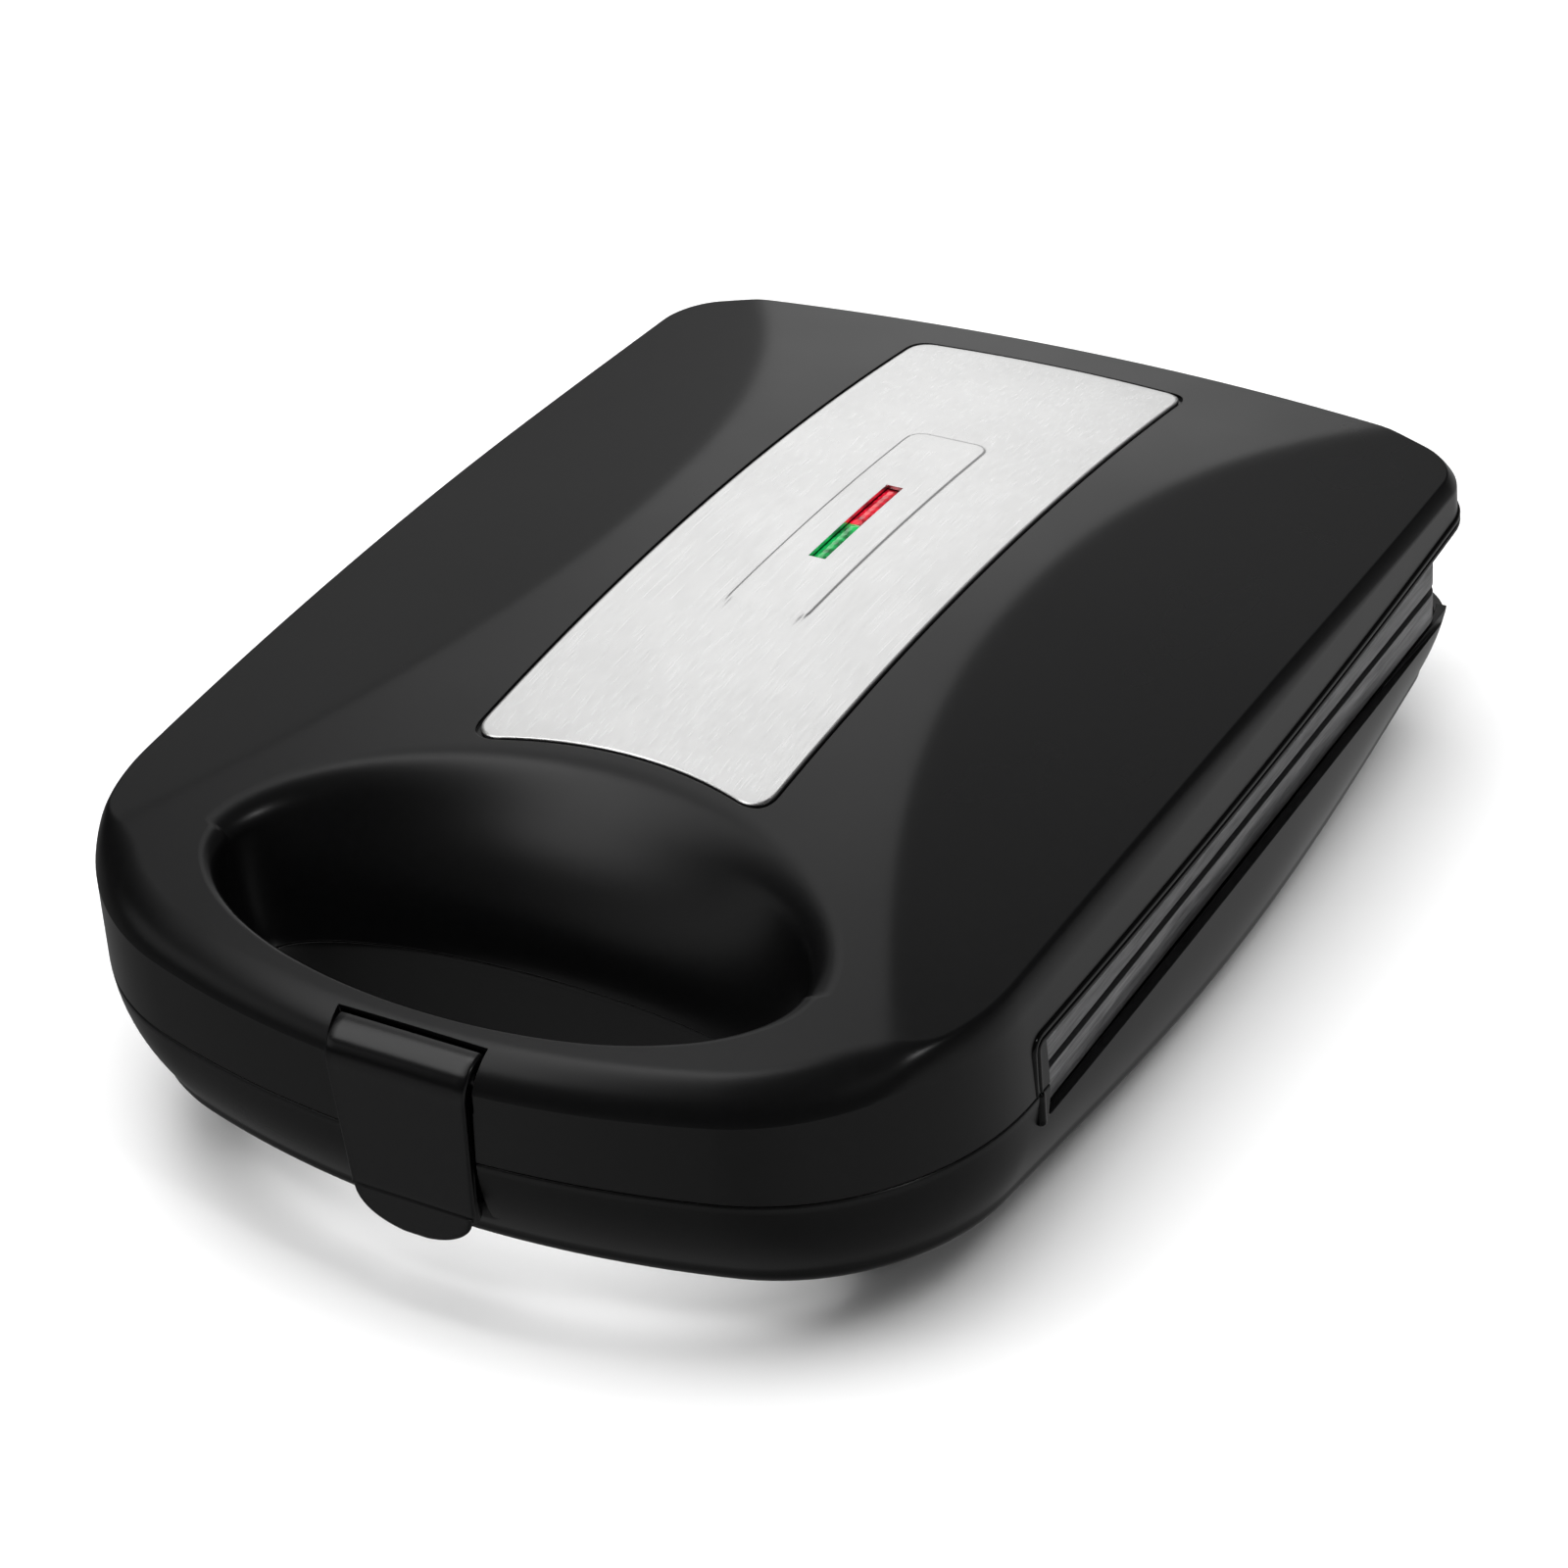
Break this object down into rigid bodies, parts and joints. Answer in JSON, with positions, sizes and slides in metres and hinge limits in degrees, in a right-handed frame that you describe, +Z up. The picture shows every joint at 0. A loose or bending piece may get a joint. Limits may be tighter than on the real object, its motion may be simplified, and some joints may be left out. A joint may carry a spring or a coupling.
{
  "type": "donut maker",
  "caption": "Clamshell electric donut maker: arched black lid with a steel trim panel and lamp window, hinged base, handle with finger hole, front latch.",
  "frame": {"origin": "on the surface that the feet stand on, under the middle of the whole object's length and width", "axes": "+Z up, +Y towards the hinge at the back, -Y towards the handle, +X to the right as seen from the handle"},
  "size_m": [0.25, 0.356, 0.097],
  "materials": {
    "housing_black": "satin moulded plastic",
    "latch_gloss": "polished moulded plastic",
    "trim_steel": "brushed across the panel's width",
    "lens_green": "clear tinted plastic",
    "lens_red": "clear tinted plastic",
    "plate_coating": "non-stick coating on cast metal",
    "heater_steel": "heat-stained",
    "reflector_sheet": "bright rolled sheet",
    "fastener_steel": "zinc plated",
    "ceramic_white": "dull",
    "lamp_glass": "clear",
    "rubber_black": "matt"
  },
  "bodies": {
    "base": {"base_housing": "housing_black", "lower_plate": "plate_coating", "lower_heating_element": "heater_steel", "lower_reflector": "reflector_sheet", "thermostat": "heater_steel", "thermal_fuse": "ceramic_white", "terminal_block": "ceramic_white", "cord_gland": "rubber_black", "lower_screw_left_front": "fastener_steel", "lower_screw_left_back": "fastener_steel", "lower_screw_right_front": "fastener_steel", "lower_screw_right_back": "fastener_steel", "foot_left_front": "rubber_black", "foot_left_back": "rubber_black", "foot_right_front": "rubber_black", "foot_right_back": "rubber_black", "hinge_pin_left": "fastener_steel", "hinge_pin_right": "fastener_steel"},
    "lid": {"lid_housing": "housing_black", "trim_panel": "trim_steel", "lens_green": "lens_green", "lens_red": "lens_red", "lamp_holder": "ceramic_white", "neon_lamp_green": "lamp_glass", "neon_lamp_red": "lamp_glass", "upper_plate": "plate_coating", "upper_heating_element": "heater_steel", "upper_reflector": "reflector_sheet", "latch_pin": "fastener_steel", "upper_screw_left_front": "fastener_steel", "upper_screw_left_back": "fastener_steel", "upper_screw_right_front": "fastener_steel", "upper_screw_right_back": "fastener_steel"},
    "latch": {"latch_clip": "latch_gloss"}
  },
  "joints": [
    {"name": "lid_hinge", "type": "hinge", "parent": "base", "child": "lid", "pos_m": [0, 0.1723, 0.0523], "axis": [-1, 0, 0], "range_deg": [0, 100]},
    {"name": "latch_hinge", "type": "hinge", "parent": "lid", "child": "latch", "pos_m": [0, -0.1717, 0.0727], "axis": [-1, 0, 0], "range_deg": [0, 65]}
  ]
}
